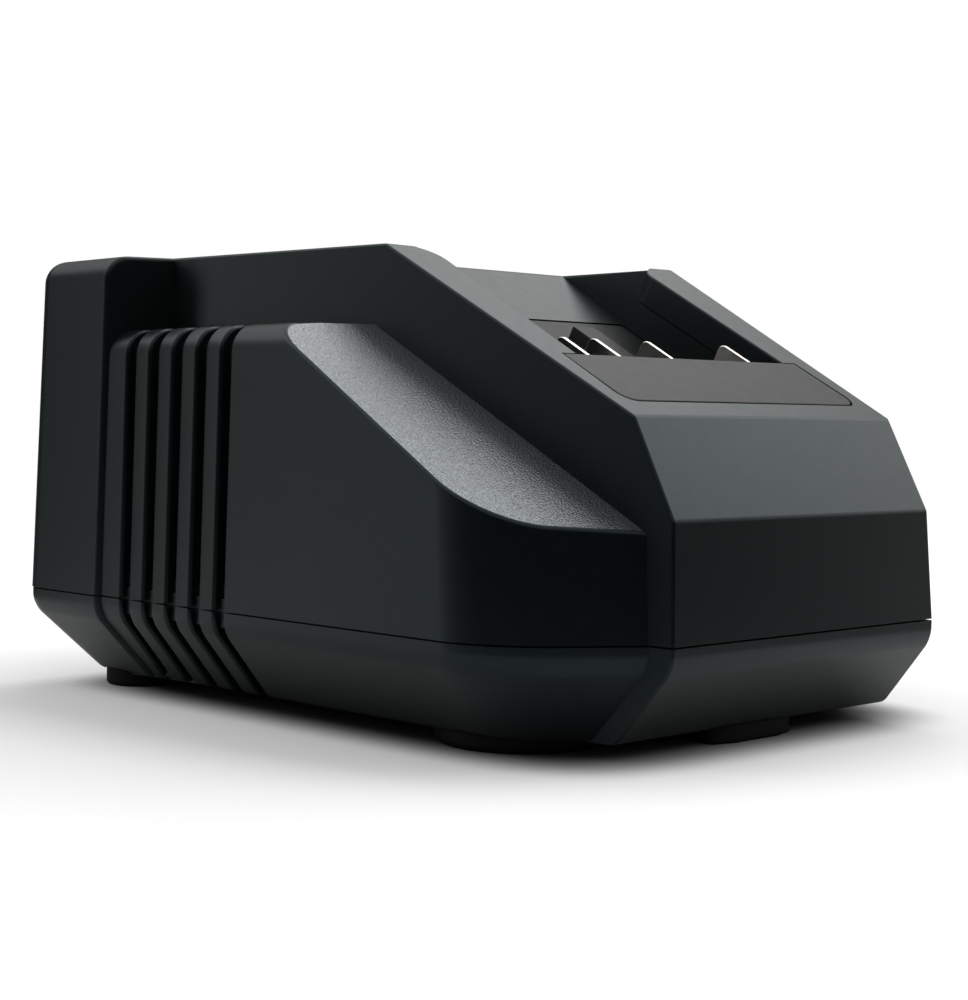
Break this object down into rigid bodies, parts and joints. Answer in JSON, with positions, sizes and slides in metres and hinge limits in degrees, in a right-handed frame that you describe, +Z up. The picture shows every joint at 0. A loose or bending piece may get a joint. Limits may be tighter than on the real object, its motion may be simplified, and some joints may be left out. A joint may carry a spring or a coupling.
{
  "type": "power tool battery charger",
  "caption": "Sloped-dock charger for a slide-on power tool pack: two-shell black case, rails over blade terminals, vented wings, fan, mains inlet, rubber feet.",
  "frame": {"origin": "middle of the case's footprint, on the surface that the feet stand on", "axes": "+Z up, +Y towards the rear wall with the mains inlet, -Y towards the low front of the sloped dock, +X to the right seen from the front"},
  "size_m": [0.118, 0.157, 0.086],
  "materials": {
    "case_plastic": "moulded, fine spark texture, charcoal black",
    "plate_plastic": "smooth dark inset plate, bare",
    "contact_plastic": "black glass-filled moulding",
    "blade_metal": "nickel-plated copper alloy blade",
    "screw_steel": "zinc-plated steel",
    "foot_rubber": "black rubber",
    "board_laminate": "green solder mask",
    "clear_plastic": "clear light guide",
    "led_plastic": "tinted indicator lamps",
    "ferrite": "sintered ferrite",
    "winding_tape": "amber tape over copper winding",
    "black_moulding": "black component body",
    "capacitor_sleeve": "shrink sleeve",
    "copper_wire": "enamelled copper",
    "film_capacitor": "yellow box",
    "varistor_coat": "blue epoxy coat",
    "fuse_glass": "ceramic tube",
    "sink_aluminium": "extruded, plain",
    "white_moulding": "white component body",
    "fan_plastic": "black fan moulding",
    "red_insulation": "red wire insulation",
    "black_insulation": "black wire insulation",
    "yellow_insulation": "yellow wire insulation",
    "brown_insulation": "brown and blue wire insulation, drawn brown",
    "grey_insulation": "grey wire insulation",
    "plate_foil": "bare silver label stock"
  },
  "bodies": {
    "case": {"upper_housing": "case_plastic", "lower_housing": "case_plastic", "cover_plate": "plate_plastic", "contact_block": "contact_plastic", "positive_terminal": "blade_metal", "negative_terminal": "blade_metal", "thermistor_terminal": "blade_metal", "identity_terminal": "blade_metal", "contact_screws": "screw_steel", "light_guide": "clear_plastic", "status_leds": "led_plastic", "indicator_board": "board_laminate", "indicator_lead": "grey_insulation", "circuit_board": "board_laminate", "transformer_core": "ferrite", "transformer_winding": "winding_tape", "transformer_bobbin": "black_moulding", "bulk_capacitor": "capacitor_sleeve", "output_capacitors": "capacitor_sleeve", "mains_choke": "copper_wire", "filter_capacitor": "film_capacitor", "bridge_rectifier": "black_moulding", "varistor": "varistor_coat", "mains_fuse": "fuse_glass", "fuse_clips": "screw_steel", "switch_heat_sink": "sink_aluminium", "switch_transistor": "black_moulding", "output_heat_sink": "sink_aluminium", "output_rectifier": "black_moulding", "optocouplers": "white_moulding", "control_chip": "black_moulding", "fan_frame": "fan_plastic", "fan_lead": "red_insulation", "inlet_socket": "contact_plastic", "inlet_pins": "blade_metal", "mains_leads": "brown_insulation", "positive_lead": "red_insulation", "negative_lead": "black_insulation", "signal_leads": "yellow_insulation", "board_screws": "screw_steel", "housing_screws": "screw_steel", "front_feet": "foot_rubber", "rear_feet": "foot_rubber", "centre_foot": "foot_rubber", "rating_plate": "plate_foil"},
    "rotor": {"fan_rotor": "fan_plastic"}
  },
  "joints": [
    {"name": "fan_spin", "type": "hinge", "parent": "case", "child": "rotor", "pos_m": [0.048, 0.0261, 0.038], "axis": [1, 0, 0], "continuous": true}
  ]
}
